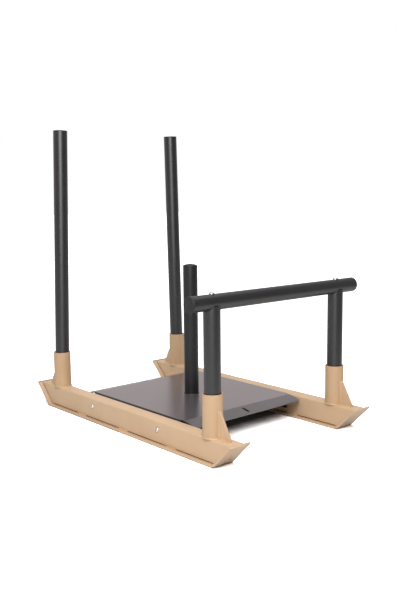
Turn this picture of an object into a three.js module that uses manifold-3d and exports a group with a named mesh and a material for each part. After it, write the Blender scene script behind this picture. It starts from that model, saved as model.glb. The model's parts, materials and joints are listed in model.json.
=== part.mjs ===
// Push sled: two skid runners, a deck with a weight post, two tall push poles and a low push bar.
// Millimetres. +Z is up, +X is the end with the low push bar, and the origin is on the floor
// under the middle of the sled. Right is -Y and left is +Y.

import * as THREE from 'three';
import { mergeVertices } from 'three/addons/utils/BufferGeometryUtils.js';
import Module from 'manifold-3d';

const wasm = await Module();
wasm.setup();

// Skid shoes: flat bar with both ends bent up
const soleLength = 914;
const shoeWidth = 80;
const shoeThickness = 6;
const shoeBendRadius = 4;
const upturnDegrees = 44.7;
const upturnLength = 107.5;

// Runner tubes, which stand on the shoes
const runnerSpacing = 543;
const tubeWidth = 50;
const tubeHeight = 70;
const tubeWall = 3;
const tubeCornerRadius = 4;
const weldGap = 0.6;

// Sockets and their gussets
const socketSpacing = 832;
const socketDiameter = 60.3;
const socketWall = 3;
const socketHeight = 128;
const rimChamfer = 0.8;
const gussetThickness = 8;
const gussetHeight = 78;
const gussetFoot = 46;
const gussetNose = 4;
const gussetToe = 3.5;
const gussetRootClip = 7;

// Tall push poles, loose in the rear sockets, so each leans a little inwards
const poleDiameter = 50;
const poleWall = 3;
const poleLength = 922;
const rightPoleLeanDegrees = 1.6;
const leftPoleLeanDegrees = 1.2;

// Plug caps of the tubes
const capThickness = 3;
const capEdgeRadius = 1.6;
const capSpigotLength = 14;

// Low push bar and its two posts
const barDiameter = 47;
const barWall = 3;
const barLength = 714;
const barHeight = 467.8;
const postDiameter = 50;
const postWall = 3;
const saddleDepth = 14;
const postPlugHeight = 20;
const postPlugDrop = 2;
const plugBite = 16;

// Deck: a folded pan with a sloped flange at the front and back
const deckTop = 79.5;
const deckThickness = 4;
const deckBendRadius = 1.5;
const deckTopLength = 492;
const deckFlangeRun = 53.6;
const deckFlangeDrop = 10.9;
const deckFlangeWidth = 474;
const deckLipRadius = 14;
const deckSideLength = 456;
const deckSideHeight = 55;
const slotLength = 31.5;
const slotWidth = 9;
const slotInset = 26.8;

// Weight post, which stands through a hole in the middle of the deck, flush with its underside
const weightPostDiameter = 50;
const weightPostWall = 3;
const weightPostHeight = 451.5;

// Fasteners
const boltDiameter = 10;
const boltHeadDiameter = 17.5;
const boltHeadHeight = 5.5;
const boltHoleClearance = 0.5;
const deckBoltSpacing = 366;
const deckBoltHeight = 49.3;
const boltTail = 3;
const washerDiameter = 20;
const washerThickness = 2;
const nutAcrossFlats = 17;
const nutHeight = 8;

// Gaps between pieces that touch, how far a cut runs past what it cuts, and how near corners merge
const seatGap = 0.3;
const cutOverrun = 5;
const cornerMergeDistance = 0.0001;

// Numbers of facets
const roundFacets = 40;
const smallFacets = 20;
const arcSteps = 5;

// Sizes that follow
const upturn = THREE.MathUtils.degToRad(upturnDegrees);
const soleHalf = soleLength / 2;
const tubeBase = shoeThickness + weldGap;
const tubeTop = tubeBase + tubeHeight;
const runnerY = runnerSpacing / 2;
const socketX = socketSpacing / 2;
const socketBase = tubeTop + seatGap;
const socketBore = socketDiameter - 2 * socketWall;
const deckHalfWidth = runnerY - tubeWidth / 2 - seatGap;

// Materials
const finish = (color, roughness, metalness) => () => (
  new THREE.MeshStandardMaterial({ color, roughness, metalness })
);
const paint = finish(0xcda97f, 0.55, 0.1);
const blackPaint = finish(0x1d1e20, 0.5, 0.1);
const deckPaint = finish(0x2a2a2c, 0.38, 0.2);
const capPlastic = finish(0x18181a, 0.6, 0);
const zinc = finish(0xc9ccd0, 0.3, 0.9);
const bareSteel = finish(0x8d9094, 0.45, 0.8);

// Closed solid of a geometry, with shared corners merged
function solidOf(geometry) {
  const bare = new THREE.BufferGeometry();
  bare.setAttribute('position', geometry.getAttribute('position').clone());
  if (geometry.index) {
    bare.setIndex(geometry.index.clone());
  }
  const merged = mergeVertices(bare, cornerMergeDistance);
  return new wasm.Manifold(new wasm.Mesh({
    numProp: 3,
    vertProperties: new Float32Array(merged.getAttribute('position').array),
    triVerts: new Uint32Array(merged.index.array),
  }));
}

// Geometry of a closed solid
function geometryOf(solid) {
  const mesh = solid.getMesh();
  const geometry = new THREE.BufferGeometry();
  geometry.setAttribute('position', new THREE.BufferAttribute(mesh.vertProperties, mesh.numProp));
  geometry.setIndex(new THREE.BufferAttribute(mesh.triVerts, 1));
  geometry.computeVertexNormals();
  return geometry;
}

// Outline of a bent sheet: path is its outer face, and every bend turns to the left
function bentSheetShape(path, thickness, insideRadius) {
  const outsideRadius = insideRadius + thickness;
  const headings = path.slice(1).map((point, i) => point.clone().sub(path[i]).normalize());
  const inward = (heading) => new THREE.Vector2(-heading.y, heading.x);
  const last = path.length - 1;
  const outer = [path[0].clone()];
  const inner = [path[0].clone().addScaledVector(inward(headings[0]), thickness)];
  for (let i = 1; i < last; i += 1) {
    const turn = headings[i - 1].angleTo(headings[i]);
    const setback = outsideRadius * Math.tan(turn / 2);
    const centre = path[i].clone()
      .addScaledVector(headings[i - 1], -setback)
      .addScaledVector(inward(headings[i - 1]), outsideRadius);
    const start = inward(headings[i - 1]).negate().angle();
    for (let step = 0; step <= arcSteps; step += 1) {
      const angle = start + (turn * step) / arcSteps;
      const ray = new THREE.Vector2(Math.cos(angle), Math.sin(angle));
      outer.push(centre.clone().addScaledVector(ray, outsideRadius));
      inner.push(centre.clone().addScaledVector(ray, insideRadius));
    }
  }
  outer.push(path[last].clone());
  inner.push(path[last].clone().addScaledVector(inward(headings[last - 1]), thickness));
  return new THREE.Shape([...outer, ...inner.reverse()]);
}

// Prism of a shape, standing on Z = 0
function extruded(shape, depth, curveSegments = arcSteps) {
  return new THREE.ExtrudeGeometry(shape, { depth, bevelEnabled: false, curveSegments });
}

// Prism of a shape drawn in X and Z, centred on Y
function prismAlongY(shape, width) {
  const geometry = extruded(shape, width);
  geometry.translate(0, 0, -width / 2);
  geometry.rotateX(Math.PI / 2);
  return geometry;
}

// Prism of a shape drawn in Y and Z, centred on X
function prismAlongX(shape, length) {
  const geometry = extruded(shape, length);
  geometry.translate(0, 0, -length / 2);
  geometry.rotateY(Math.PI / 2);
  geometry.rotateX(Math.PI / 2);
  return geometry;
}

// Body of revolution about Z, from radii and heights that close on themselves or on the axis
function turned(profile, facets) {
  const points = profile.map(([radius, height]) => new THREE.Vector2(radius, height));
  const geometry = new THREE.LatheGeometry(points, facets);
  geometry.rotateX(Math.PI / 2);
  return geometry;
}

// Round tube standing on Z = 0, with a small chamfer on its inner rim where asked
function roundTube(diameter, wall, height, chamfer = 0) {
  const outer = diameter / 2;
  const inner = outer - wall;
  const rim = chamfer > 0
    ? [[inner + chamfer, height], [inner, height - chamfer]]
    : [[inner, height]];
  return turned([[inner, 0], [outer, 0], [outer, height], ...rim, [inner, 0]], roundFacets);
}

// Plug cap with its face up: the flange rests on a tube's end at Z = 0, the spigot goes inside
function plugCap(diameter, wall) {
  const outer = diameter / 2;
  const spigot = outer - wall - seatGap;
  const profile = [[0, -capSpigotLength], [spigot, -capSpigotLength], [spigot, seatGap], [outer, seatGap]];
  for (let step = 0; step <= arcSteps; step += 1) {
    const angle = (step / arcSteps) * Math.PI / 2;
    profile.push([
      outer - capEdgeRadius * (1 - Math.cos(angle)),
      capThickness - capEdgeRadius * (1 - Math.sin(angle)),
    ]);
  }
  profile.push([0, capThickness]);
  return turned(profile, roundFacets);
}

// Dome-head bolt: the head sits on Z = 0 and the shank goes down
function domeBolt(shankLength) {
  const shank = boltDiameter / 2;
  const profile = [[0, -shankLength], [shank, -shankLength], [shank, 0], [boltHeadDiameter / 2, 0]];
  for (let step = 1; step <= arcSteps; step += 1) {
    const angle = (step / arcSteps) * Math.PI / 2;
    profile.push([(boltHeadDiameter / 2) * Math.cos(angle), boltHeadHeight * Math.sin(angle)]);
  }
  profile[profile.length - 1][0] = 0;
  return turned(profile, smallFacets);
}

// Rod for a round hole, centred on the origin and along Z
function holeRod(diameter, length, facets = smallFacets) {
  const radius = diameter / 2;
  return turned([[0, -length / 2], [radius, -length / 2], [radius, length / 2], [0, length / 2]], facets);
}

const sled = new THREE.Group();

// Named mesh of a geometry, added to the sled or to a group in it
function addPiece(name, geometry, material, parent = sled) {
  const mesh = new THREE.Mesh(geometry, material);
  mesh.name = name;
  parent.add(mesh);
  return mesh;
}

// Skid shoe
function shoeGeometry() {
  const rise = upturnLength * Math.sin(upturn);
  const reach = soleHalf + upturnLength * Math.cos(upturn);
  const underside = [
    new THREE.Vector2(-reach, rise),
    new THREE.Vector2(-soleHalf, 0),
    new THREE.Vector2(soleHalf, 0),
    new THREE.Vector2(reach, rise),
  ];
  return prismAlongY(bentSheetShape(underside, shoeThickness, shoeBendRadius), shoeWidth);
}

// Rounded rectangle centred on the origin, wound either way
function roundedRectangle(path, width, height, radius) {
  const x = width / 2 - radius;
  const y = height / 2 - radius;
  path.absarc(x, y, radius, 0, Math.PI / 2);
  path.absarc(-x, y, radius, Math.PI / 2, Math.PI);
  path.absarc(-x, -y, radius, Math.PI, 1.5 * Math.PI);
  path.absarc(x, -y, radius, 1.5 * Math.PI, 2 * Math.PI);
  path.closePath();
  return path;
}

// Distance from the middle of the sled to the upturned end's inner face at a height
function upturnInnerX(height) {
  return soleHalf + height / Math.tan(upturn) - shoeThickness / Math.sin(upturn);
}

// Runner tube: mitred to sit inside the upturned ends, and drilled for the deck bolts
function runnerTubeGeometry() {
  const profile = roundedRectangle(new THREE.Shape(), tubeWidth, tubeHeight, tubeCornerRadius);
  const bore = new THREE.Path();
  roundedRectangle(bore, tubeWidth - 2 * tubeWall, tubeHeight - 2 * tubeWall, tubeCornerRadius - tubeWall);
  profile.holes.push(bore);
  const stock = prismAlongX(profile, 2 * (upturnInnerX(tubeTop) + cutOverrun));
  stock.translate(0, 0, tubeBase + tubeHeight / 2);
  const mitreGap = weldGap / Math.sin(upturn);
  const low = tubeBase - cutOverrun;
  const high = tubeTop + cutOverrun;
  const mitre = new THREE.Shape([
    new THREE.Vector2(mitreGap - upturnInnerX(low), low),
    new THREE.Vector2(upturnInnerX(low) - mitreGap, low),
    new THREE.Vector2(upturnInnerX(high) - mitreGap, high),
    new THREE.Vector2(mitreGap - upturnInnerX(high), high),
  ]);
  let tube = solidOf(stock).intersect(solidOf(prismAlongY(mitre, tubeWidth + cutOverrun)));
  for (const side of [-1, 1]) {
    const drill = holeRod(boltDiameter + 2 * boltHoleClearance, tubeWidth + cutOverrun);
    drill.rotateX(Math.PI / 2);
    drill.translate(side * deckBoltSpacing / 2, 0, deckBoltHeight);
    tube = tube.subtract(solidOf(drill));
  }
  return geometryOf(tube);
}

// Gusset for an end at +X: its foot on the tube's top and its back against the socket
function gussetGeometry() {
  const back = socketDiameter / 2 + seatGap;
  const outline = new THREE.Shape([
    new THREE.Vector2(back + gussetRootClip, 0),
    new THREE.Vector2(back + gussetFoot, 0),
    new THREE.Vector2(back + gussetFoot, gussetToe),
    new THREE.Vector2(back + gussetNose, gussetHeight),
    new THREE.Vector2(back, gussetHeight),
    new THREE.Vector2(back, gussetRootClip),
  ]);
  return prismAlongY(outline, gussetThickness);
}

// Runners, with their sockets and gussets
for (const [name, side] of [['right', -1], ['left', 1]]) {
  const y = side * runnerY;
  addPiece(`${name}_shoe`, shoeGeometry(), paint()).position.set(0, y, 0);
  addPiece(`${name}_runner_tube`, runnerTubeGeometry(), paint()).position.set(0, y, 0);
  for (const [place, end] of [['rear', -1], ['front', 1]]) {
    const socket = roundTube(socketDiameter, socketWall, socketHeight, rimChamfer);
    addPiece(`${name}_${place}_socket`, socket, paint()).position.set(end * socketX, y, socketBase);
    const gusset = addPiece(`${name}_${place}_gusset`, gussetGeometry(), paint());
    gusset.position.set(end * socketX, y, socketBase);
    gusset.rotation.z = end > 0 ? 0 : Math.PI;
  }
}

// Tall push poles: each turns about the middle of its socket, so that it leans inside the bore
for (const [name, side, leanDegrees] of [
  ['right', -1, rightPoleLeanDegrees],
  ['left', 1, leftPoleLeanDegrees],
]) {
  const lean = THREE.MathUtils.degToRad(leanDegrees);
  const middle = socketHeight / 2;
  const footDip = (poleDiameter / 2) * Math.sin(lean);
  const pole = new THREE.Group();
  pole.position.set(-socketX, side * runnerY, socketBase + middle);
  pole.rotation.x = side * lean;
  sled.add(pole);
  const foot = footDip + seatGap - middle;
  addPiece(`${name}_push_pole`, roundTube(poleDiameter, poleWall, poleLength), blackPaint(), pole)
    .position.set(0, 0, foot);
  addPiece(`${name}_pole_cap`, plugCap(poleDiameter, poleWall), capPlastic(), pole)
    .position.set(0, 0, foot + poleLength);
}

// Deck: the long section with its sloped flanges, joined to the cross section with its side flanges
function deckGeometry() {
  const bendX = deckTopLength / 2;
  const edgeX = bendX + deckFlangeRun;
  const long = bentSheetShape([
    new THREE.Vector2(edgeX, deckTop - deckFlangeDrop),
    new THREE.Vector2(bendX, deckTop),
    new THREE.Vector2(-bendX, deckTop),
    new THREE.Vector2(-edgeX, deckTop - deckFlangeDrop),
  ], deckThickness, deckBendRadius);
  const cross = bentSheetShape([
    new THREE.Vector2(deckHalfWidth, deckTop - deckSideHeight),
    new THREE.Vector2(deckHalfWidth, deckTop),
    new THREE.Vector2(-deckHalfWidth, deckTop),
    new THREE.Vector2(-deckHalfWidth, deckTop - deckSideHeight),
  ], deckThickness, deckBendRadius);
  const plan = roundedRectangle(new THREE.Shape(), 2 * edgeX, deckFlangeWidth, deckLipRadius);
  const flanged = solidOf(prismAlongY(long, deckFlangeWidth + cutOverrun)).intersect(
    solidOf(extruded(plan, deckTop + cutOverrun)),
  );
  let deck = flanged.add(solidOf(prismAlongX(cross, deckSideLength)));
  const slotShape = roundedRectangle(new THREE.Shape(), slotLength, slotWidth, slotWidth / 2);
  const slotDepth = deckFlangeDrop + deckThickness + 2 * cutOverrun;
  for (const end of [-1, 1]) {
    const slot = extruded(slotShape, slotDepth);
    slot.translate(end * (bendX + slotInset), 0, deckTop + cutOverrun - slotDepth);
    deck = deck.subtract(solidOf(slot));
    const drill = holeRod(boltDiameter + 2 * boltHoleClearance, 2 * (deckHalfWidth + cutOverrun));
    drill.rotateX(Math.PI / 2);
    drill.translate(end * deckBoltSpacing / 2, 0, deckBoltHeight);
    deck = deck.subtract(solidOf(drill));
  }
  const postHole = holeRod(weightPostDiameter + 2 * seatGap, 2 * (deckThickness + cutOverrun), roundFacets);
  postHole.translate(0, 0, deckTop);
  return geometryOf(deck.subtract(solidOf(postHole)));
}

addPiece('deck', deckGeometry(), deckPaint());
const weightPostBase = deckTop - deckThickness;
const weightPostTubeLength = weightPostHeight + deckThickness - capThickness;
addPiece('weight_post', roundTube(weightPostDiameter, weightPostWall, weightPostTubeLength), blackPaint())
  .position.set(0, 0, weightPostBase);
addPiece('weight_post_cap', plugCap(weightPostDiameter, weightPostWall), capPlastic())
  .position.set(0, 0, weightPostBase + weightPostTubeLength);

// Deck bolts: head outside the runner tube, washer and nut inside the deck's side flange
const boltHeadY = runnerY + tubeWidth / 2 + seatGap;
const washerY = deckHalfWidth - deckThickness - seatGap;
const nutY = washerY - washerThickness - seatGap;
const deckBoltLength = boltHeadY - nutY + nutHeight + boltTail;
const washerBore = boltDiameter / 2 + boltHoleClearance;
for (const [name, side] of [['right', -1], ['left', 1]]) {
  for (const [place, end] of [['rear', -1], ['front', 1]]) {
    const bolt = new THREE.Group();
    bolt.position.set(end * deckBoltSpacing / 2, 0, deckBoltHeight);
    bolt.rotation.x = -side * Math.PI / 2;
    sled.add(bolt);
    addPiece(`${name}_${place}_deck_bolt`, domeBolt(deckBoltLength), zinc(), bolt)
      .position.set(0, 0, boltHeadY);
    const washer = turned([
      [washerBore, -washerThickness],
      [washerDiameter / 2, -washerThickness],
      [washerDiameter / 2, 0],
      [washerBore, 0],
      [washerBore, -washerThickness],
    ], smallFacets);
    addPiece(`${name}_${place}_washer`, washer, zinc(), bolt).position.set(0, 0, washerY);
    const corner = nutAcrossFlats / Math.sqrt(3);
    const hexagon = new THREE.Shape();
    for (let step = 0; step < 6; step += 1) {
      const angle = step * Math.PI / 3;
      hexagon[step ? 'lineTo' : 'moveTo'](corner * Math.cos(angle), corner * Math.sin(angle));
    }
    hexagon.closePath();
    hexagon.holes.push(new THREE.Path().absarc(0, 0, boltDiameter / 2 + seatGap, 0, 2 * Math.PI));
    const nut = extruded(hexagon, nutHeight, smallFacets / 2);
    addPiece(`${name}_${place}_nut`, nut, zinc(), bolt).position.set(0, 0, nutY - nutHeight);
  }
}

// Low push bar: drilled through at each post
function pushBarGeometry() {
  const tube = roundTube(barDiameter, barWall, barLength - 2 * capThickness);
  tube.translate(0, 0, capThickness - barLength / 2);
  tube.rotateX(Math.PI / 2);
  let bar = solidOf(tube);
  for (const side of [-1, 1]) {
    const drill = holeRod(boltDiameter + 2 * boltHoleClearance, barDiameter + cutOverrun);
    drill.translate(0, side * runnerY, 0);
    bar = bar.subtract(solidOf(drill));
  }
  return geometryOf(bar);
}

// Front post standing on Z = 0, with its top coped to the bar that lies across it
function frontPostGeometry() {
  const underBar = barHeight - barDiameter / 2 - socketBase - seatGap;
  const cope = holeRod(barDiameter + 2 * seatGap, postDiameter + cutOverrun, roundFacets);
  cope.rotateX(Math.PI / 2);
  cope.translate(0, 0, underBar + barDiameter / 2);
  const tube = solidOf(roundTube(postDiameter, postWall, underBar + saddleDepth));
  return geometryOf(tube.subtract(solidOf(cope)));
}

addPiece('push_bar', pushBarGeometry(), blackPaint()).position.set(socketX, 0, barHeight);
const plugTop = barHeight - barDiameter / 2 - postPlugDrop;
const barBoltHead = barHeight + barDiameter / 2 + seatGap;
for (const [name, side] of [['right', -1], ['left', 1]]) {
  const y = side * runnerY;
  const cap = addPiece(`${name}_bar_cap`, plugCap(barDiameter, barWall), capPlastic());
  cap.position.set(socketX, side * (barLength / 2 - capThickness), barHeight);
  cap.rotation.x = -side * Math.PI / 2;
  addPiece(`${name}_front_post`, frontPostGeometry(), blackPaint())
    .position.set(socketX, y, socketBase + seatGap);
  const bore = boltDiameter / 2 + seatGap;
  const plugRadius = postDiameter / 2 - postWall - seatGap;
  const plug = turned([
    [bore, -postPlugHeight],
    [plugRadius, -postPlugHeight],
    [plugRadius, 0],
    [bore, 0],
    [bore, -postPlugHeight],
  ], roundFacets);
  addPiece(`${name}_post_plug`, plug, bareSteel()).position.set(socketX, y, plugTop);
  addPiece(`${name}_bar_bolt`, domeBolt(barBoltHead - plugTop + plugBite), zinc())
    .position.set(socketX, y, barBoltHead);
}

export default sled;
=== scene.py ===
import json
import math
import random

import bmesh
import bpy
from mathutils import Matrix, Vector


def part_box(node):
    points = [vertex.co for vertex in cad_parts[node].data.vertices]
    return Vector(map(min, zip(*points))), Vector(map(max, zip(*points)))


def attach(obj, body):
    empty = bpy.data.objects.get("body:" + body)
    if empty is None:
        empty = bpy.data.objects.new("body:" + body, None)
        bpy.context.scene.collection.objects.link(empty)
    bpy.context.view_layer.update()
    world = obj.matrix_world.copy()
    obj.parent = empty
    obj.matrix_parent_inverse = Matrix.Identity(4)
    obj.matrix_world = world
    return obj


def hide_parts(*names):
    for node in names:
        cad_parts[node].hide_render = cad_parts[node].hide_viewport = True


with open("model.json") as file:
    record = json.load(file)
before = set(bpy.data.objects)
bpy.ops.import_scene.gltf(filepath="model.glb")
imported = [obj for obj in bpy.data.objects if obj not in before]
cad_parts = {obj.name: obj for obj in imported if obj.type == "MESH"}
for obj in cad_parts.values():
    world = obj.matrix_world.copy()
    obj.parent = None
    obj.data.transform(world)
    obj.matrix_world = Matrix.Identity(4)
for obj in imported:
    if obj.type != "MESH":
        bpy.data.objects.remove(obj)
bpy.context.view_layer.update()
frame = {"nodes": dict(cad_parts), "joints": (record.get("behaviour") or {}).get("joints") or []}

scene = bpy.context.scene
dice = random.Random(7)
sides = {"right": -1, "left": 1}    # along Y
ends = {"rear": -1, "front": 1}     # along X
upAxis = Vector((0, 0, 1))
upturn = math.radians(44.7)    # of the shoes' ends, to which the tubes are mitred
nearby = 1e-5                  # metres within which points count as level
touching = 1e-6                # metres within which points are one


# Materials

noise = {"roughness": 0.55, "detail": 3, "grainDetail": 2, "low": 0.3, "high": 0.7,
         "mottleLow": 0.35, "mottleHigh": 0.65}
plainGleam = 0.5    # the shader's own specular level


def fromScreen(red, green, blue):
    # display values of 0 to 255 as the linear colour that a shader takes
    linear = []
    for value in (red, green, blue):
        share = value / 255
        linear.append(share / 12.92 if share < 0.04 else ((share + 0.055) / 1.055) ** 2.4)
    return (*linear, 1)


def addNode(tree, kind, inputs=None, **settings):
    node = tree.nodes.new(kind)
    for key, value in settings.items():
        setattr(node, key, value)
    for key, value in (inputs or {}).items():
        node.inputs[key].default_value = value
    return node


def noiseOn(tree, place, scale, detail=noise["detail"]):
    inputs = {"Scale": scale, "Detail": detail, "Roughness": noise["roughness"]}
    node = addNode(tree, "ShaderNodeTexNoise", inputs)
    tree.links.new(place, node.inputs["Vector"])
    return node.outputs["Fac"]


def axesOf(tree, place):
    node = addNode(tree, "ShaderNodeSeparateXYZ")
    tree.links.new(place, node.inputs[0])
    return node.outputs


def remap(tree, value, fromLow, fromHigh, toLow, toHigh):
    inputs = {"From Min": fromLow, "From Max": fromHigh, "To Min": toLow, "To Max": toHigh}
    node = addNode(tree, "ShaderNodeMapRange", inputs)
    tree.links.new(value, node.inputs["Value"])
    return node.outputs["Result"]


def combine(tree, operation, first, second):
    node = addNode(tree, "ShaderNodeMath", operation=operation)
    for socket, value in zip(node.inputs, (first, second)):
        if isinstance(value, (int, float)):
            socket.default_value = value
        else:
            tree.links.new(value, socket)
    return node.outputs["Value"]


def mixColours(tree, factor, first, second):
    node = addNode(tree, "ShaderNodeMix", data_type="RGBA")
    tree.links.new(factor, node.inputs[0])
    for socket, value in ((node.inputs[6], first), (node.inputs[7], second)):
        if isinstance(value, tuple):
            socket.default_value = value
        else:
            tree.links.new(value, socket)
    return node.outputs[2]


def wornAndShadedSole(tree, place, wearAndShade):
    # 1 on the rear tip of a shoe and less along its rear lower edges: partly wear where they rub on the
    # floor, partly painted shade at the floor contact and along the tip's edge
    spot = axesOf(tree, place)
    height = spot["Z"]
    beyond = combine(tree, "SUBTRACT", combine(tree, "ABSOLUTE", spot["X"], 0), wearAndShade["soleHalf"])
    lean = math.cos(upturn)
    rise = math.sin(upturn)
    above = combine(tree, "SUBTRACT", combine(tree, "MULTIPLY", height, lean),
                    combine(tree, "MULTIPLY", beyond, rise))
    along = combine(tree, "ADD", combine(tree, "MULTIPLY", beyond, lean),
                    combine(tree, "MULTIPLY", height, rise))
    ragged = remap(tree, noiseOn(tree, place, wearAndShade["patchScale"]), noise["low"], noise["high"],
                   -wearAndShade["ragged"], wearAndShade["ragged"])
    depth = combine(tree, "ADD", combine(tree, "MINIMUM", height, above), ragged)
    under = remap(tree, depth, wearAndShade["depth"], wearAndShade["depth"] / 2, 0, wearAndShade["edge"])
    offFace = remap(tree, above, wearAndShade["ragged"] / 4, wearAndShade["ragged"], 0, 1)
    edge = combine(tree, "MULTIPLY", under, offFace)
    tipFrom = wearAndShade["length"] - wearAndShade["tip"]
    tip = remap(tree, along, tipFrom, tipFrom + wearAndShade["blur"], 0, 1)
    rearHalf = combine(tree, "LESS_THAN", spot["X"], 0)
    return combine(tree, "MULTIPLY", combine(tree, "MAXIMUM", edge, tip), rearHalf)


def paintedSeamShade(tree, place, seam):
    # painted shade: 1 in the grooves along a tube's foot and its mitred ends, 0 where a weld stitch fills
    # the foot
    spot = axesOf(tree, place)
    low = remap(tree, spot["Z"], seam["top"], seam["top"] - seam["blur"], 0, 1)
    fromStitch = combine(tree, "PINGPONG", spot["X"], seam["pitch"] / 2)
    bare = remap(tree, fromStitch, seam["stitch"] / 2, seam["stitch"] / 2 + 2 * seam["blur"], 0, 1)
    outward = combine(tree, "ABSOLUTE", spot["X"], 0)
    inside = remap(tree, outward, seam["end"] - seam["blur"], seam["end"], 1, 0)
    foot = combine(tree, "MULTIPLY", combine(tree, "MULTIPLY", low, inside), bare)
    toMitre = combine(tree, "SUBTRACT", combine(tree, "MULTIPLY", outward, math.sin(upturn)),
                      combine(tree, "MULTIPLY", spot["Z"], math.cos(upturn)))
    mitre = remap(tree, toMitre, seam["mitreFrom"], seam["mitreFrom"] + seam["blur"], 0, seam["mitre"])
    return combine(tree, "MAXIMUM", foot, mitre)


def paintedBendShadow(tree, place, bend):
    # painted shadow: 1 low on the upturned ends of a shoe, where they close on the floor
    spot = axesOf(tree, place)
    low = remap(tree, spot["Z"], bend["top"], bend["top"] / 2, 0, 1)
    outward = combine(tree, "ABSOLUTE", spot["X"], 0)
    onEnd = remap(tree, outward, bend["from"], bend["from"] + bend["blur"], 0, 1)
    return combine(tree, "MULTIPLY", low, onEnd)


def shadedFolds(tree, place, fold):
    # 1 on the side folds of the deck and on the walls of its slots, which get little light
    spot = axesOf(tree, place)
    aside = combine(tree, "ABSOLUTE", spot["Y"], 0)
    side = remap(tree, aside, fold["from"], fold["from"] + fold["blur"], 0, 1)
    fromSlot = combine(tree, "SUBTRACT", combine(tree, "ABSOLUTE", spot["X"], 0), fold["slotAt"])
    past = combine(tree, "SUBTRACT", combine(tree, "ABSOLUTE", fromSlot, 0), fold["slotStraight"])
    past = combine(tree, "MAXIMUM", past, 0)
    reach = combine(tree, "ADD", combine(tree, "MULTIPLY", past, past),
                    combine(tree, "MULTIPLY", aside, aside))
    slot = combine(tree, "LESS_THAN", reach, fold["slotRadius"] ** 2)
    return combine(tree, "MAXIMUM", side, slot)


marks = {"scrapeAndShade": wornAndShadedSole, "bend": paintedBendShadow, "seam": paintedSeamShade, "folds": shadedFolds}


def coating(name, look):
    # powder coat, plastic or plated steel: mottled colour, gloss, fine grain, marked places
    material = bpy.data.materials.new(name)
    material.use_nodes = True
    tree = material.node_tree
    shader = tree.nodes["Principled BSDF"]
    shader.inputs["Metallic"].default_value = look.get("metallic", 0)
    shader.inputs["IOR"].default_value = look.get("ior", 1.5)
    shader.inputs["Roughness"].default_value = look["roughness"]
    place = addNode(tree, "ShaderNodeTexCoord").outputs["Object"]
    mottle = remap(tree, noiseOn(tree, place, look["mottleScale"]),
                   noise["mottleLow"], noise["mottleHigh"], 0, 1)
    colour = mixColours(tree, mottle, fromScreen(*look["colour"]), fromScreen(*look["shade"]))
    if "glossChange" in look:
        gloss = noiseOn(tree, place, look["glossScale"])
        rough = remap(tree, gloss, noise["low"], noise["high"],
                      look["roughness"] - look["glossChange"], look["roughness"] + look["glossChange"])
        tree.links.new(rough, shader.inputs["Roughness"])
    for detail, maskOf in marks.items():
        if detail in look:
            mark = look[detail]
            mask = maskOf(tree, place, mark)
            colour = mixColours(tree, mask, colour, fromScreen(*mark["colour"]))
            if "gleam" in mark:
                gleam = remap(tree, mask, 0, 1, plainGleam, mark["gleam"])
                tree.links.new(gleam, shader.inputs["Specular IOR Level"])
    tree.links.new(colour, shader.inputs["Base Color"])
    grain = noiseOn(tree, place, look["grainScale"], noise["grainDetail"])
    bump = addNode(tree, "ShaderNodeBump", {"Strength": look["grain"], "Distance": look["grainDepth"]})
    tree.links.new(grain, bump.inputs["Height"])
    tree.links.new(bump.outputs["Normal"], shader.inputs["Normal"])
    return material


looks = {
    "tanPaint": {
        "colour": (212, 180, 146), "shade": (207, 174, 138), "mottleScale": 9,
        "roughness": 0.42, "glossChange": 0.04, "glossScale": 30,
        "grainScale": 900, "grain": 0.2, "grainDepth": 0.0004,
    },
    "blackPaint": {
        "colour": (25, 24, 26), "shade": (21, 21, 22), "mottleScale": 12, "ior": 1.7,
        "roughness": 0.38, "glossChange": 0.03, "glossScale": 40,
        "grainScale": 1100, "grain": 0.12, "grainDepth": 0.0004,
    },
    "deckPaint": {
        "colour": (81, 74, 76), "shade": (76, 69, 71), "mottleScale": 6, "ior": 2.2, "roughness": 0.28,
        "grainScale": 1300, "grain": 0.03, "grainDepth": 0.0003,
        "folds": {"from": 0.2402, "blur": 0.0012, "slotAt": 0.2728, "slotStraight": 0.01125,
                  "slotRadius": 0.0047, "colour": (30, 26, 26), "gleam": 0.15},
    },
    "capPlastic": {
        "colour": (30, 30, 31), "shade": (24, 24, 25), "mottleScale": 25,
        "roughness": 0.5, "glossChange": 0.05, "glossScale": 90,
        "grainScale": 2200, "grain": 0.25, "grainDepth": 0.0002,
    },
    "zincPlate": {
        "colour": (228, 224, 220), "shade": (210, 206, 202), "mottleScale": 120, "metallic": 1,
        "roughness": 0.3, "glossChange": 0.08, "glossScale": 400,
        "grainScale": 1500, "grain": 0.1, "grainDepth": 0.0002,
    },
    "bareSteel": {
        "colour": (140, 142, 146), "shade": (120, 122, 126), "mottleScale": 80, "metallic": 1,
        "roughness": 0.42, "glossChange": 0.08, "glossScale": 300,
        "grainScale": 1800, "grain": 0.15, "grainDepth": 0.0002,
    },
}
# the sockets take a darker, more ochre copy of the tan paint: partly their own tone, partly painted shade
looks["socketToneAndShade"] = {**looks["tanPaint"], "colour": (205, 171, 134), "shade": (200, 165, 127)}
looks["tubePaint"] = {
    **looks["tanPaint"],
    # painted shade in the grooves along the tube's foot and at its mitres, with less sheen there
    "seam": {"top": 0.0098, "blur": 0.0008, "pitch": 0.25, "stitch": 0.048, "end": 0.441,
             "mitreFrom": 0.3122, "mitre": 0.8, "colour": (54, 28, 8), "gleam": 0.3},
}
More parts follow.
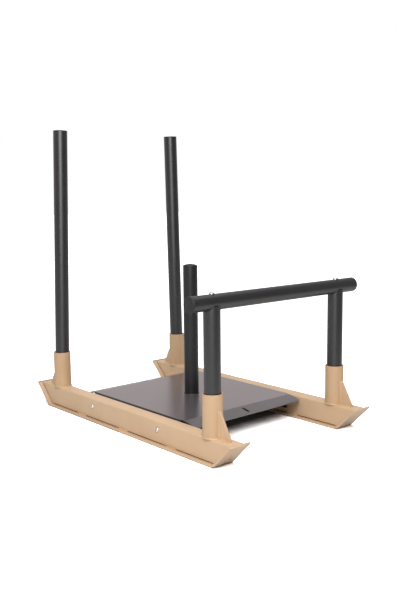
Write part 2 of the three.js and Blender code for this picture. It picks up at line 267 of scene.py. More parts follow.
# the shoes take a paler copy of the tan paint, which is painted light
looks["litShoePaint"] = {
    **looks["tanPaint"], "colour": (213, 182, 151), "shade": (208, 176, 143),
    # the grey-brown rear tip and lower edges: partly wear, partly painted shade at the floor contact
    "scrapeAndShade": {"soleHalf": 0.457, "length": 0.1075, "depth": 0.0065, "tip": 0.0055, "ragged": 0.0004,
               "blur": 0.001, "edge": 0.45, "patchScale": 90, "colour": (134, 118, 102)},
    # a painted shadow low on the upturned ends, where they close on the floor
    "bend": {"top": 0.005, "from": 0.453, "blur": 0.002, "colour": (58, 36, 22), "gleam": 0.1},
}
looks["postPaint"] = {**looks["blackPaint"], "ior": 1.5}
materials = {name: coating(name, look) for name, look in looks.items()}
print("materials:", len(materials))


# Mesh helpers

sharpFrom = math.radians(32)    # edges that bend more than this are rounded


def turnProfile(bm, profile, steps, closed=False):
    # spins a profile of (radius, height) about Z; points on the axis close into poles
    points = [bm.verts.new((radius, 0, height)) for radius, height in profile]
    pairs = list(zip(points, points[1:]))
    if closed:
        pairs.append((points[-1], points[0]))
    edges = [bm.edges.new(pair) for pair in pairs]
    bmesh.ops.spin(bm, geom=points + edges, cent=(0, 0, 0), axis=(0, 0, 1), dvec=(0, 0, 0),
                   angle=2 * math.pi, steps=steps, use_merge=True)
    bmesh.ops.remove_doubles(bm, verts=bm.verts, dist=touching)


def turnTube(bm, inner, outer, length, steps):
    profile = [(inner, 0), (outer, 0), (outer, length), (inner, length)]
    turnProfile(bm, profile, steps, closed=True)


def addRod(bm, radius, length, steps):
    bmesh.ops.create_cone(bm, cap_ends=True, segments=steps, radius1=radius, radius2=radius, depth=length)


def addBar(bm, size, centre):
    made = bmesh.ops.create_cube(bm, size=1)
    bmesh.ops.scale(bm, vec=size, verts=made["verts"])
    bmesh.ops.translate(bm, vec=centre, verts=made["verts"])


def roundOff(bm, corners, offset, segments, affect="EDGES"):
    bmesh.ops.bevel(bm, geom=corners, offset=offset, segments=segments, affect=affect, profile=0.5,
                    material=-1)


def splitMesh(bm, point, normal, clear=False):
    everything = bm.verts[:] + bm.edges[:] + bm.faces[:]
    bmesh.ops.bisect_plane(bm, geom=everything, plane_co=point, plane_no=normal, clear_outer=clear)


def turnedTo(direction):
    # the rotation that points Z along a direction
    return direction.to_track_quat("Z", "Y").to_matrix()


def footOf(low, high):
    # the middle of a box's underside
    return Vector(((low.x + high.x) / 2, (low.y + high.y) / 2, low.z))


def moveMesh(bm, offset, turn=None):
    if turn:
        bmesh.ops.transform(bm, matrix=turn.to_4x4(), verts=bm.verts)
    bmesh.ops.translate(bm, vec=offset, verts=bm.verts)


def moveNew(bm, grown, shift):
    # moves the corners that an extrusion made
    corners = [item for item in grown["geom"] if isinstance(item, bmesh.types.BMVert)]
    bmesh.ops.translate(bm, vec=shift, verts=corners)


def plainObject(name, bm):
    bmesh.ops.recalc_face_normals(bm, faces=bm.faces)
    mesh = bpy.data.meshes.new(name)
    bm.to_mesh(mesh)
    bm.free()
    piece = bpy.data.objects.new(name, mesh)
    scene.collection.objects.link(piece)
    return piece


def rodCutter(name, radius, length, steps, centre, turn=None):
    bm = bmesh.new()
    addRod(bm, radius, length, steps)
    moveMesh(bm, centre, turn)
    return plainObject(name, bm)


def bakeModifiers(piece):
    # leaves the piece with the mesh that its modifiers make
    depsgraph = bpy.context.evaluated_depsgraph_get()
    finished = bpy.data.meshes.new_from_object(piece.evaluated_get(depsgraph))
    piece.modifiers.clear()
    piece.data = finished


def cutAway(piece, cutters):
    for cutter in cutters:
        cut = piece.modifiers.new("cut", "BOOLEAN")
        cut.solver = "EXACT"
        cut.operation = "DIFFERENCE"
        cut.object = cutter
    bakeModifiers(piece)
    for cutter in cutters:
        bpy.data.objects.remove(cutter)


def addWall(piece, thickness):
    wall = piece.modifiers.new("wall", "SOLIDIFY")
    wall.thickness = thickness
    wall.offset = -1
    wall.use_even_offset = True


def finishPiece(piece, paint, body, nodes, softEdge, segments):
    # smooth shading with small rounded edges, its material, body and replaced nodes
    piece.data.materials.clear()
    piece.data.materials.append(materials[paint])
    piece.data.polygons.foreach_set("use_smooth", [True] * len(piece.data.polygons))
    if softEdge:
        bevel = piece.modifiers.new("softEdge", "BEVEL")
        bevel.width = softEdge
        bevel.segments = segments
        bevel.limit_method = "ANGLE"
        bevel.angle_limit = sharpFrom
        bevel.harden_normals = True
    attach(piece, body)
    if nodes:
        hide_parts(*nodes)


def addPiece(name, bm, paint, body, *nodes, softEdge, segments=3):
    finishPiece(plainObject(name, bm), paint, body, nodes, softEdge, segments)


# Skid shoes

shoe = {"thickness": 0.006, "bendRadius": 0.004, "soleLength": 0.914, "bendSteps": 8, "edge": 0.0007}


def makeShoe(side):
    node = f"{side}_shoe"
    low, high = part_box(node)
    width = high.y - low.y
    outside = shoe["bendRadius"] + shoe["thickness"]
    setback = outside * math.tan(upturn / 2)
    flatHalf = shoe["soleLength"] / 2 - setback
    run = high.x - shoe["soleLength"] / 2
    leg = run / math.cos(upturn) - setback
    bm = bmesh.new()
    addBar(bm, (2 * flatHalf, width, shoe["thickness"]), (0, 0, shoe["thickness"] / 2))
    for direction in (-1, 1):
        tip = [face for face in bm.faces if face.normal.x * direction > 0.9]    # faces along X
        bent = bmesh.ops.spin(bm, geom=tip, cent=(direction * flatHalf, 0, outside), axis=(0, 1, 0),
                              dvec=(0, 0, 0), angle=-direction * upturn, steps=shoe["bendSteps"])
        bendEnd = [item for item in bent["geom_last"] if isinstance(item, bmesh.types.BMFace)]
        grown = bmesh.ops.extrude_face_region(bm, geom=bendEnd)
        bmesh.ops.delete(bm, geom=tip + bendEnd, context="FACES_ONLY")    # both would stay inside
        heading = Vector((direction * math.cos(upturn), 0, math.sin(upturn)))
        moveNew(bm, grown, heading * leg)
    moveMesh(bm, (0, (low.y + high.y) / 2, low.z))
    addPiece(f"{side}Shoe", bm, "litShoePaint", "sled", node, softEdge=shoe["edge"])


# Runner tubes, mitred to the upturned ends of the shoes

runner = {"corner": 0.004, "wall": 0.003, "cornerSteps": 5, "edge": 0.0003}


def makeRunnerTube(side):
    node = f"{side}_runner_tube"
    low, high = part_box(node)
    centre = (low + high) / 2
    size = high - low
    bm = bmesh.new()
    addBar(bm, size, centre)
    longEdges = [edge for edge in bm.edges if abs((edge.verts[0].co - edge.verts[1].co).x) > size.x / 2]
    roundOff(bm, longEdges, runner["corner"], runner["cornerSteps"])
    for direction in (-1, 1):
        outward = Vector((direction * math.sin(upturn), 0, -math.cos(upturn)))
        topEdge = Vector((high.x if direction > 0 else low.x, centre.y, high.z))
        splitMesh(bm, topEdge, outward, clear=True)
    piece = plainObject(f"{side}RunnerTube", bm)
    addWall(piece, runner["wall"])
    finishPiece(piece, "tubePaint", "sled", [node], softEdge=runner["edge"], segments=2)


# Sockets and gussets

socket = {"wall": 0.003, "chamfer": 0.0008, "steps": 72, "edge": 0.0004}


def makeSocket(side, end):
    node = f"{side}_{end}_socket"
    low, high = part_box(node)
    outer = (high.x - low.x) / 2
    inner = outer - socket["wall"]
    height = high.z - low.z
    rim = height - socket["chamfer"]
    bm = bmesh.new()
    turnProfile(bm, [(inner, 0), (outer, 0), (outer, height), (inner + socket["chamfer"], height),
                     (inner, rim)], socket["steps"], closed=True)
    moveMesh(bm, footOf(low, high))
    addPiece(f"{side}{end.title()}Socket", bm, "socketToneAndShade", "sled", node, softEdge=socket["edge"])


gusset = {"nose": 0.004, "toe": 0.0035, "rootClip": 0.007, "edge": 0.0006}


def makeGusset(side, end):
    node = f"{side}_{end}_gusset"
    low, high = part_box(node)
    outward = ends[end]
    back = low.x if outward > 0 else high.x
    foot = high.x - low.x
    height = high.z - low.z
    outline = [(gusset["rootClip"], 0), (foot, 0), (foot, gusset["toe"]), (gusset["nose"], height),
               (0, height), (0, gusset["rootClip"])]
    bm = bmesh.new()
    corners = [bm.verts.new((back + outward * x, low.y, low.z + z)) for x, z in outline]
    plate = bm.faces.new(corners)
    grown = bmesh.ops.extrude_face_region(bm, geom=[plate], use_keep_orig=True)
    moveNew(bm, grown, (0, high.y - low.y, 0))
    addPiece(f"{side}{end.title()}Gusset", bm, "tanPaint", "sled", node, softEdge=gusset["edge"])


# Weld beads

weld = {"radius": 0.0027, "tipRadius": 0.002, "postRadius": 0.0022, "sides": 10, "ringSteps": 48,
        "pitch": 0.0032, "rippleSteps": 4, "ripple": 0.1, "wander": 0.00025, "endTaper": 0.5,
        "stitch": 0.048, "stitchCentres": (-0.25, 0, 0.25)}


def beadRoute(points):
    # even steps along a polyline, a few to each ripple
    route = [points[0]]
    for start, stop in zip(points, points[1:]):
        steps = max(1, round((stop - start).length / (weld["pitch"] / weld["rippleSteps"])))
        route += [start.lerp(stop, step / steps) for step in range(1, steps + 1)]
    return route


def layBead(bm, points, radius=weld["radius"]):
    # a grid rolled round the route into a rippled bead, closed where the route comes back
    route = beadRoute(points)
    last = len(route) - 1
    closed = (route[0] - route[-1]).length < touching
    rings = []
    for index, point in enumerate(route):
        ahead = route[index + 1] if index < last else route[1 if closed else last]
        behind = route[index - 1] if index else route[last - 1 if closed else 0]
        swell = 1 - weld["ripple"] * (index % weld["rippleSteps"]) / (weld["rippleSteps"] - 1)
        taper = 1 if closed or 0 < index < last else weld["endTaper"]
        drift = Vector([dice.uniform(-1, 1) * weld["wander"] for _ in range(3)])
        rings.append((point + drift, turnedTo(ahead - behind) * (radius * swell * taper)))
    if closed:
        rings[last] = rings[0]
    made = bmesh.ops.create_grid(bm, x_segments=weld["sides"], y_segments=last, size=1)
    for vert in made["verts"]:
        centre, turn = rings[round((vert.co.y + 1) / 2 * last)]
        angle = math.pi * (vert.co.x + 1)
        vert.co = centre + turn @ Vector((math.cos(angle), math.sin(angle), 0))
    bmesh.ops.remove_doubles(bm, verts=made["verts"], dist=touching)
    if not closed:
        bmesh.ops.holes_fill(bm, edges=[edge for edge in bm.edges if edge.is_boundary])


def ringPoints(centre, radius):
    turns = [2 * math.pi * step / weld["ringSteps"] for step in range(weld["ringSteps"])]
    points = [centre + Vector((math.cos(turn), math.sin(turn), 0)) * radius for turn in turns]
    return points + [points[0]]


def makeRunnerWelds(side):
    tubeLow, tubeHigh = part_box(f"{side}_runner_tube")
    bm = bmesh.new()
    for face in (tubeLow.y, tubeHigh.y):
        for middle in weld["stitchCentres"]:
            seam = Vector((middle, face, tubeLow.z))
            half = Vector((weld["stitch"] / 2, 0, 0))
            layBead(bm, [seam - half, seam + half])
    corner = runner["corner"]
    inset = Vector((0, corner / 2, 0))
    for direction in (-1, 1):
        tipX = tubeHigh.x * direction
        layBead(bm, [
            Vector((tipX - direction * corner, tubeLow.y, tubeHigh.z - corner)),
            Vector((tipX, tubeLow.y, tubeHigh.z - corner / 3)) + inset,
            Vector((tipX, tubeHigh.y, tubeHigh.z - corner / 3)) - inset,
            Vector((tipX - direction * corner, tubeHigh.y, tubeHigh.z - corner)),
        ], radius=weld["tipRadius"])
    addPiece(f"{side}RunnerWelds", bm, "tanPaint", "sled", softEdge=0)


def makeSocketWelds(side, end):
    low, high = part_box(f"{side}_{end}_socket")
    bm = bmesh.new()
    layBead(bm, ringPoints(footOf(low, high), (high.x - low.x) / 2))
    plateLow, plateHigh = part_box(f"{side}_{end}_gusset")
    outward = ends[end]
    backX, toeX = (plateLow.x, plateHigh.x) if outward > 0 else (plateHigh.x, plateLow.x)
    for face in (plateLow.y, plateHigh.y):
        layBead(bm, [
            Vector((toeX, face, low.z)),
            Vector((backX + outward * weld["radius"], face, low.z)),
            Vector((backX, face, low.z + weld["radius"])),
            Vector((backX, face, plateHigh.z)),
        ])
    layBead(bm, [Vector((backX, plateLow.y, plateHigh.z)), Vector((backX, plateHigh.y, plateHigh.z))])
    addPiece(f"{side}{end.title()}SocketWelds", bm, "tanPaint", "sled", softEdge=0)


for side in sides:
    makeShoe(side)
    makeRunnerTube(side)
    makeRunnerWelds(side)
    for end in ends:
        makeSocket(side, end)
        makeGusset(side, end)
        makeSocketWelds(side, end)
print("runners with shoes, sockets, gussets and welds")


# Poles, posts and their plug caps

pole = {"wall": 0.003, "steps": 72, "edge": 0.0005}
plugCap = {"thickness": 0.003, "spigot": 0.014, "seat": 0.0003, "corner": 0.0016, "cornerSteps": 6,
           "crown": 0.0003, "postCrown": 0.0042, "domeSteps": 6, "edge": 0.0003}


def capProfile(outer, crown):
    # a spigot, a rounded rim, and on it a dome as high as the crown
    spigot = outer - pole["wall"] - plugCap["seat"]
    shoulder = plugCap["thickness"] - plugCap["crown"]
    profile = [(0, -plugCap["spigot"]), (spigot, -plugCap["spigot"]), (spigot, plugCap["seat"]),
               (outer, plugCap["seat"])]
    for step in range(plugCap["cornerSteps"] + 1):
        turn = step / plugCap["cornerSteps"] * math.pi / 2
        profile.append((outer - plugCap["corner"] * (1 - math.cos(turn)),
                        shoulder - plugCap["corner"] * (1 - math.sin(turn))))
    for step in range(1, plugCap["domeSteps"] + 1):
        share = 1 - step / plugCap["domeSteps"]
        profile.append(((outer - plugCap["corner"]) * share, shoulder + crown * (1 - share ** 3)))
    return profile


def makeCap(name, node, body, outer, reach, centre=(0, 0, 0), turn=None, crown=plugCap["crown"]):
    # reach is how far the tube's end is from the centre, along the tube
    bm = bmesh.new()
    turnProfile(bm, capProfile(outer, crown), pole["steps"])
    moveMesh(bm, (0, 0, reach))
    moveMesh(bm, centre, turn)
    addPiece(name, bm, "capPlastic", body, node, softEdge=plugCap["edge"])


def makePushPole(side):
    node = f"{side}_push_pole"
    body = f"{side}_pole"
    low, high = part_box(node)
    joint = next(entry for entry in frame["joints"] if entry["child"] == body)
    lean = Vector(joint["axis"]).normalized()
    turn = turnedTo(lean)
    tilt = lean.angle(upAxis)
    outer = (high.x - low.x) / 2
    length = (high.z - low.z - 2 * outer * math.sin(tilt)) / math.cos(tilt)
    centre = (low + high) / 2
    bm = bmesh.new()
    turnTube(bm, outer - pole["wall"], outer, length, pole["steps"])
    moveMesh(bm, (0, 0, -length / 2))
    moveMesh(bm, centre, turn)
    addPiece(f"{side}PushPole", bm, "blackPaint", body, node, softEdge=pole["edge"])
    makeCap(f"{side}PoleCap", f"{side}_pole_cap", body, outer, length / 2, centre, turn)


for side in sides:
    makePushPole(side)


def makeWeightPost():
    low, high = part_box("weight_post")
    outer = (high.x - low.x) / 2
    bm = bmesh.new()
    turnTube(bm, outer - pole["wall"], outer, high.z - low.z, pole["steps"])
    moveMesh(bm, (0, 0, low.z))
    addPiece("weightPost", bm, "postPaint", "sled", "weight_post", softEdge=pole["edge"])
    makeCap("weightPostCap", "weight_post_cap", "sled", outer, high.z, crown=plugCap["postCrown"])
    bm = bmesh.new()
    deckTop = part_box("deck")[1].z
    layBead(bm, ringPoints(Vector((0, 0, deckTop)), outer), radius=weld["postRadius"])
    addPiece("weightPostWeld", bm, "blackPaint", "sled", softEdge=0)


makeWeightPost()


# Low push bar on its two coped posts

saddle = {"steps": 96, "gap": 0.0003}


def makePushBar():
    low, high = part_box("push_bar")
    centre = (low + high) / 2
    outer = (high.x - low.x) / 2
    length = high.y - low.y
    bm = bmesh.new()
    turnTube(bm, outer - pole["wall"], outer, length, saddle["steps"])
    moveMesh(bm, (0, 0, -length / 2))
    moveMesh(bm, centre, Matrix.Rotation(-math.pi / 2, 3, "X"))
    addPiece("pushBar", bm, "blackPaint", "push_bar_frame", "push_bar", softEdge=pole["edge"])
    for side, outward in sides.items():
        turn = Matrix.Rotation(-outward * math.pi / 2, 3, "X")
        makeCap(f"{side}BarCap", f"{side}_bar_cap", "push_bar_frame", outer, length / 2, centre, turn)


def makeFrontPost(side):
    node = f"{side}_front_post"
    low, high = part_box(node)
    barLow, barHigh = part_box("push_bar")
    barRadius = (barHigh.x - barLow.x) / 2 + saddle["gap"]
    barZ = (barLow.z + barHigh.z) / 2 - low.z
    outer = (high.x - low.x) / 2
    height = high.z - low.z
    bm = bmesh.new()
    turnTube(bm, outer - pole["wall"], outer, height, saddle["steps"])
    for vert in bm.verts:
        if vert.co.z > height / 2:    # the rim follows the underside of the bar
            drop = math.sqrt(max(barRadius ** 2 - vert.co.x ** 2, 0))
            vert.co.z = min(height, barZ - drop)
    moveMesh(bm, footOf(low, high))
    addPiece(f"{side}FrontPost", bm, "blackPaint", "push_bar_frame", node, softEdge=pole["edge"])


makePushBar()
for side in sides:
    makeFrontPost(side)
print("poles, posts and low push bar")


# Deck: a folded pan

deck = {"thickness": 0.004, "topLength": 0.492, "sideLength": 0.456, "rearSide": 0.244,
        "flangeWidth": 0.474, "flangeDrop": 0.0109, "lipRadius": 0.014, "lipSteps": 8,
        "bendOutside": 0.0055, "bendSteps": 6, "foldFrom": 0.1, "steepFrom": 1, "edge": 0.0004,
        "slotLength": 0.0315, "slotWidth": 0.009, "slotInset": 0.0268, "slotSteps": 32, "slotCut": 0.04,
        "postGap": 0.0003, "postSteps": 72, "postCut": 0.03}


def openEdges(bm, test):
    return [edge for edge in bm.edges if edge.is_boundary and all(test(vert.co) for vert in edge.verts)]


def slotCutter(centre):
    # a rod drawn out into a slot along X
    bm = bmesh.new()
    addRod(bm, deck["slotWidth"] / 2, deck["slotCut"], deck["slotSteps"])
    stretch = (deck["slotLength"] - deck["slotWidth"]) / 2
    for vert in bm.verts:
        if abs(vert.co.x) > touching:
            vert.co.x += math.copysign(stretch, vert.co.x)
    moveMesh(bm, centre)
    return plainObject("slotCutter", bm)


def makeDeck():
    low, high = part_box("deck")
    bendX = deck["topLength"] / 2
    sideX = deck["sideLength"] / 2
    flangeY = deck["flangeWidth"] / 2
    bm = bmesh.new()
    made = bmesh.ops.create_grid(bm, x_segments=1, y_segments=1, size=0.5)
    bmesh.ops.scale(bm, vec=(deck["topLength"], deck["flangeWidth"], 1), verts=made["verts"])
    bmesh.ops.translate(bm, vec=(0, 0, high.z), verts=bm.verts)
    for cut in (-deck["rearSide"], sideX):
        splitMesh(bm, (cut, 0, 0), (1, 0, 0))
    for direction in (-1, 1):
        lip = openEdges(bm, lambda spot: spot.x * direction > bendX - nearby)
        grown = bmesh.ops.extrude_edge_only(bm, edges=lip)
        moveNew(bm, grown, (direction * (high.x - bendX), 0, -deck["flangeDrop"]))
        rim = openEdges(bm, lambda spot: spot.y * direction > flangeY - nearby
                        and -deck["rearSide"] - nearby < spot.x < sideX + nearby)
        grown = bmesh.ops.extrude_edge_only(bm, edges=rim)
        moveNew(bm, grown, (0, direction * (high.y - flangeY), 0))
        rim = openEdges(bm, lambda spot: spot.y * direction > high.y - nearby)
        grown = bmesh.ops.extrude_edge_only(bm, edges=rim)
        moveNew(bm, grown, (0, 0, low.z - high.z))
    lips = [vert for vert in bm.verts if abs(vert.co.x) > bendX + nearby]
    roundOff(bm, lips, deck["lipRadius"], deck["lipSteps"], affect="VERTICES")
    folds = [edge for edge in bm.edges
             if not edge.is_boundary and edge.calc_face_angle(0) > deck["foldFrom"]]
    for steep in (True, False):
        group = [edge for edge in folds
                 if edge.is_valid and (edge.calc_face_angle(0) > deck["steepFrom"]) == steep]
        turn = math.pi / 2 if steep else math.atan2(deck["flangeDrop"], high.x - bendX)
        roundOff(bm, group, deck["bendOutside"] * math.tan(turn / 2), deck["bendSteps"])
    sheet = plainObject("deckPan", bm)
    addWall(sheet, deck["thickness"])
    postLow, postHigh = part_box("weight_post")
    holeRadius = (postHigh.x - postLow.x) / 2 + deck["postGap"]
    cutters = [rodCutter("postCutter", holeRadius, deck["postCut"], deck["postSteps"], (0, 0, high.z))]
    for direction in (-1, 1):
        slotX = direction * (bendX + deck["slotInset"])
        cutters.append(slotCutter((slotX, 0, high.z - deck["flangeDrop"] / 2)))
    cutAway(sheet, cutters)
    finishPiece(sheet, "deckPaint", "sled", ["deck"], softEdge=deck["edge"], segments=2)


makeDeck()
print("deck")


# Bolts, washers and nuts

bolt = {"shank": 0.005, "head": 0.00875, "headHeight": 0.0055, "collar": 0.0008, "domeSteps": 8,
        "steps": 40, "thread": 0.0015, "threadDepth": 0.0008, "deckThread": 0.016, "barThread": 0.02,
        "hexAcrossFlats": 0.006, "hexDepth": 0.0031, "hexEdge": 0.0002}
washer = {"gap": 0.0005, "edge": 0.0002}
nut = {"hole": 0.0053, "holeSteps": 32, "holeCut": 0.05, "cornerTrim": 0.0009}


def boltProfile(length, threadLength):
    profile = [(0, -length), (bolt["shank"] - bolt["threadDepth"], -length)]
    turns = round(threadLength / bolt["thread"])
    for turn in range(turns):
        z = -length + turn * bolt["thread"]
        profile += [(bolt["shank"], z + bolt["thread"] / 2),
                    (bolt["shank"] - bolt["threadDepth"], z + bolt["thread"])]
    profile += [(bolt["shank"], -length + (turns + 0.5) * bolt["thread"]), (bolt["shank"], 0),
                (bolt["head"], 0), (bolt["head"], bolt["collar"])]
    for step in range(1, bolt["domeSteps"] + 1):
        turn = step / bolt["domeSteps"] * math.pi / 2
        profile.append((bolt["head"] * math.cos(turn),
                        bolt["collar"] + (bolt["headHeight"] - bolt["collar"]) * math.sin(turn)))
    profile[-1] = (0, bolt["headHeight"])
    return profile


def makeBolt(name, node, body, seat, outward, threadLength):
    # outward is the way the head faces; seat is the middle of its underside
    low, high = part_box(node)
    length = abs((high - low).dot(outward)) - bolt["headHeight"]
    turn = turnedTo(outward)
    bm = bmesh.new()
    turnProfile(bm, boltProfile(length, threadLength), bolt["steps"])
    moveMesh(bm, seat, turn)
    piece = plainObject(name, bm)
    radius = bolt["hexAcrossFlats"] / math.sqrt(3)
    top = seat + outward * bolt["headHeight"]
    cutAway(piece, [rodCutter("hexCutter", radius, 2 * bolt["hexDepth"], 6, top, turn)])
    finishPiece(piece, "zincPlate", body, [node], softEdge=bolt["hexEdge"], segments=2)


def makeWasher(name, node, outward):
    low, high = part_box(node)
    outer = (high.x - low.x) / 2
    under = Vector(((low.x + high.x) / 2, low.y if outward.y > 0 else high.y, (low.z + high.z) / 2))
    bm = bmesh.new()
    turnTube(bm, bolt["shank"] + washer["gap"], outer, high.y - low.y, bolt["steps"])
    moveMesh(bm, under, turnedTo(outward))
    addPiece(name, bm, "zincPlate", "sled", node, softEdge=washer["edge"], segments=2)


def makeNut(name, node, outward):
    low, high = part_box(node)
    centre = (low + high) / 2
    turn = turnedTo(outward)
    bm = bmesh.new()
    addRod(bm, (high.x - low.x) / 2, high.y - low.y, 6)
    moveMesh(bm, (0, 0, 0), Matrix.Rotation(math.pi / 6, 3, "Z"))
    moveMesh(bm, centre, turn)
    piece = plainObject(name, bm)
    cutAway(piece, [rodCutter("nutCutter", nut["hole"], nut["holeCut"], nut["holeSteps"], centre, turn)])
    finishPiece(piece, "zincPlate", "sled", [node], softEdge=nut["cornerTrim"] / 2, segments=2)


for side, outward in sides.items():
    facing = Vector((0, outward, 0))
    for end in ends:
        label = f"{side}{end.title()}"
        node = f"{side}_{end}_deck_bolt"
        low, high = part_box(node)
        tip = high if outward > 0 else low
        seat = Vector(((low.x + high.x) / 2, tip.y - outward * bolt["headHeight"], (low.z + high.z) / 2))
        makeBolt(f"{label}DeckBolt", node, "sled", seat, facing, bolt["deckThread"])
        makeWasher(f"{label}Washer", f"{side}_{end}_washer", facing)
        makeNut(f"{label}Nut", f"{side}_{end}_nut", facing)
    node = f"{side}_bar_bolt"
    low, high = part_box(node)
    seat = Vector(((low.x + high.x) / 2, (low.y + high.y) / 2, high.z - bolt["headHeight"]))
    makeBolt(f"{side}BarBolt", node, "push_bar_frame", seat, upAxis, bolt["barThread"])
    plug = frame["nodes"][f"{side}_post_plug"]
    plug.data.materials.clear()
    plug.data.materials.append(materials["bareSteel"])
print("fasteners")


# Studio: floor, world and lamps

studio = {"floorSize": 60, "floorNear": 1.8, "floorFar": 3, "nearRadius": 1.2, "farRadius": 5,
          "floorFelt": 0.75, "floorMirrored": 0.85, "skyLow": 0.05, "skyHigh": 0.8,
          "wallTop": 0.32, "ceilingFrom": 0.52, "ceiling": 0.54, "wallTint": (1, 0.87, 0.89, 1),
          "shadeInner": 0.18, "shadeOuter": 0.32, "shade": 0.22}
# painted shadow on the floor, seen dark between the runners under the deck, and painted light ahead of
# its lip
deckShade = {"frontFrom": 0.187, "frontTo": 0.235, "rearFrom": -0.22, "rearTo": -0.42,
             "sideFrom": 0.26, "sideTo": 0.3, "dark": 0.15, "pale": 1.3}
darkSide = {"heading": (0.98, -0.2, 0), "level": 0.22, "middle": 0.55, "fall": 0.5,
            "floorFrom": 0.8, "floorTo": 2.5}    # the unlit end of the studio, met only in reflections
lamps = {
    "overhead": {"at": (0.2, 0.3, 3.2), "aim": (0, 0, 0.1), "size": 2.6, "power": 30},
    "key": {"at": (1.8, -1.75, 2.1), "aim": (0, 0, 0.2), "size": 1.2, "power": 60},
    "glint": {"at": (2.03, -1.7, 1.2), "aim": (-0.1, -0.1, 0.45), "size": 1.7, "power": 30,
              "onlyGlossy": True, "missing": ["deckPan"]},
}


def towardsDarkSide(tree, place):
    # how far a place or direction lies towards the unlit end of the studio
    node = addNode(tree, "ShaderNodeVectorMath", {1: darkSide["heading"]}, operation="DOT_PRODUCT")
    tree.links.new(place, node.inputs[0])
    return node.outputs["Value"]


def byRay(tree, felt, seen, mirrored):
    # felt lights surfaces, seen is what the camera and glass see, mirrored is what reflections show
    path = addNode(tree, "ShaderNodeLightPath")
    direct = combine(tree, "MAXIMUM", path.outputs["Is Camera Ray"], path.outputs["Is Transmission Ray"])
    level = felt
    for mask, value in ((path.outputs["Is Glossy Ray"], mirrored), (direct, seen)):
        change = combine(tree, "MULTIPLY", combine(tree, "SUBTRACT", value, level), mask)
        level = combine(tree, "ADD", level, change)
    return level


def paintedDeckShadow(tree, place):
    # the seen level of the floor, a painted shadow: dark between the runners under the deck, and painted
    # light ahead of its lip
    spot = axesOf(tree, place)
    level = remap(tree, spot["X"], deckShade["frontFrom"], deckShade["frontTo"],
                  deckShade["dark"], deckShade["pale"])
    ahead = remap(tree, spot["X"], deckShade["rearTo"], deckShade["rearFrom"], 0, 1)
    aside = combine(tree, "ABSOLUTE", spot["Y"], 0)
    between = remap(tree, aside, deckShade["sideFrom"], deckShade["sideTo"], 1, 0)
    within = combine(tree, "MULTIPLY", ahead, between)
    change = combine(tree, "MULTIPLY", within, combine(tree, "SUBTRACT", level, 1))
    return combine(tree, "ADD", 1, change)


def makeFloor():
    bm = bmesh.new()
    bmesh.ops.create_grid(bm, x_segments=1, y_segments=1, size=studio["floorSize"] / 2)
    floor = plainObject("studioFloor", bm)
    material = bpy.data.materials.new("floorWhite")
    material.use_nodes = True
    tree = material.node_tree
    tree.nodes.remove(tree.nodes["Principled BSDF"])
    shader = addNode(tree, "ShaderNodeBsdfDiffuse")
    place = addNode(tree, "ShaderNodeTexCoord").outputs["Object"]
    mirrored = remap(tree, towardsDarkSide(tree, place), darkSide["floorFrom"], darkSide["floorTo"],
                     studio["floorMirrored"], darkSide["level"])
    length = addNode(tree, "ShaderNodeVectorMath", operation="LENGTH")
    tree.links.new(place, length.inputs[0])
    reach = length.outputs["Value"]
    seen = remap(tree, reach, studio["nearRadius"], studio["farRadius"],
                 studio["floorNear"], studio["floorFar"])    # stays white as the lamps fall off
    shade = remap(tree, reach, studio["shadeInner"], studio["shadeOuter"],
                  studio["shade"], 1)    # painted shade: the floor bounces less light under the deck
    felt = combine(tree, "MULTIPLY", shade, studio["floorFelt"])
    level = byRay(tree, felt, combine(tree, "MULTIPLY", paintedDeckShadow(tree, place), seen), mirrored)
    tree.links.new(level, shader.inputs["Color"])
    tree.links.new(shader.outputs[0], tree.nodes["Material Output"].inputs["Surface"])
    floor.data.materials.append(material)


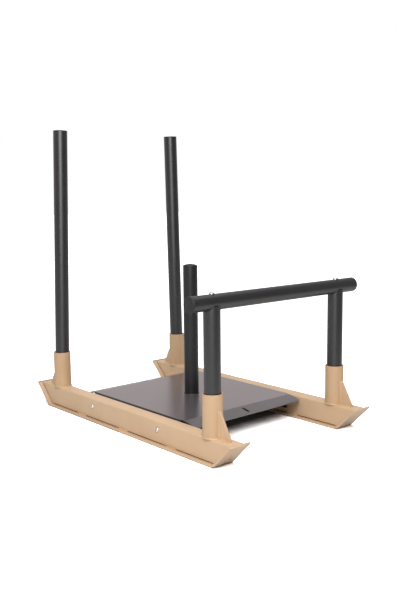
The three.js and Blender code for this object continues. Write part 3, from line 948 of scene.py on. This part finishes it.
def makeWorld():
    world = bpy.data.worlds.new("studioWorld")
    world.use_nodes = True
    tree = world.node_tree
    heading = addNode(tree, "ShaderNodeTexCoord").outputs["Generated"]
    height = axesOf(tree, heading)["Z"]
    felt = remap(tree, height, 0, 1, studio["skyLow"], studio["skyHigh"])
    side = combine(tree, "MULTIPLY", towardsDarkSide(tree, heading), darkSide["fall"])
    wall = combine(tree, "SUBTRACT", darkSide["middle"], side)
    wall = combine(tree, "MINIMUM", combine(tree, "MAXIMUM", wall, darkSide["level"]), 1)
    ceiling = remap(tree, height, studio["wallTop"], studio["ceilingFrom"], 1, studio["ceiling"])
    mirrored = combine(tree, "MULTIPLY", wall, ceiling)
    background = tree.nodes["Background"]
    tree.links.new(byRay(tree, felt, 1, mirrored), background.inputs["Strength"])
    lowDown = remap(tree, height, studio["wallTop"], studio["ceilingFrom"], 1, 0)
    glossy = addNode(tree, "ShaderNodeLightPath").outputs["Is Glossy Ray"]
    warm = combine(tree, "MULTIPLY", lowDown, glossy)
    tree.links.new(mixColours(tree, warm, (1, 1, 1, 1), studio["wallTint"]), background.inputs["Color"])
    scene.world = world


def makeLamp(name, spec):
    lamp = bpy.data.lights.new(name, "AREA")
    lamp.size = spec["size"]
    lamp.energy = spec["power"]
    holder = bpy.data.objects.new(name, lamp)
    holder.visible_camera = False
    holder.visible_diffuse = not spec.get("onlyGlossy", False)
    holder.location = spec["at"]
    holder.rotation_euler = (Vector(spec["aim"]) - Vector(spec["at"])).to_track_quat("-Z", "Y").to_euler()
    scene.collection.objects.link(holder)
    if "missing" in spec:    # pieces that this lamp doesn't light
        unlit = bpy.data.collections.new(f"{name}Unlit")
        holder.light_linking.receiver_collection = unlit
        for label in spec["missing"]:
            unlit.objects.link(bpy.data.objects[label])
        for entry in unlit.collection_objects:
            entry.light_linking.link_state = "EXCLUDE"


makeFloor()
makeWorld()
for name, spec in lamps.items():
    makeLamp(name, spec)


# Camera

view = {"at": (2.027355, -1.702114, 0.762391), "azimuth": math.radians(49.238),
        "pitch": math.radians(7.642), "roll": math.radians(-0.630), "lens": 46.124, "sensor": 36}


def makeCamera():
    camera = bpy.data.cameras.new("photoCamera")
    camera.lens = view["lens"]
    camera.sensor_width = view["sensor"]
    holder = bpy.data.objects.new("photoCamera", camera)
    heading = Matrix.Rotation(view["azimuth"], 4, "Z")
    level = Matrix.Rotation(math.pi / 2 - view["pitch"], 4, "X")
    tilt = Matrix.Rotation(view["roll"], 4, "Z")
    holder.matrix_world = Matrix.Translation(view["at"]) @ heading @ level @ tilt
    scene.collection.objects.link(holder)
    scene.camera = holder


makeCamera()
scene.view_settings.view_transform = "Standard"
print("studio and camera")
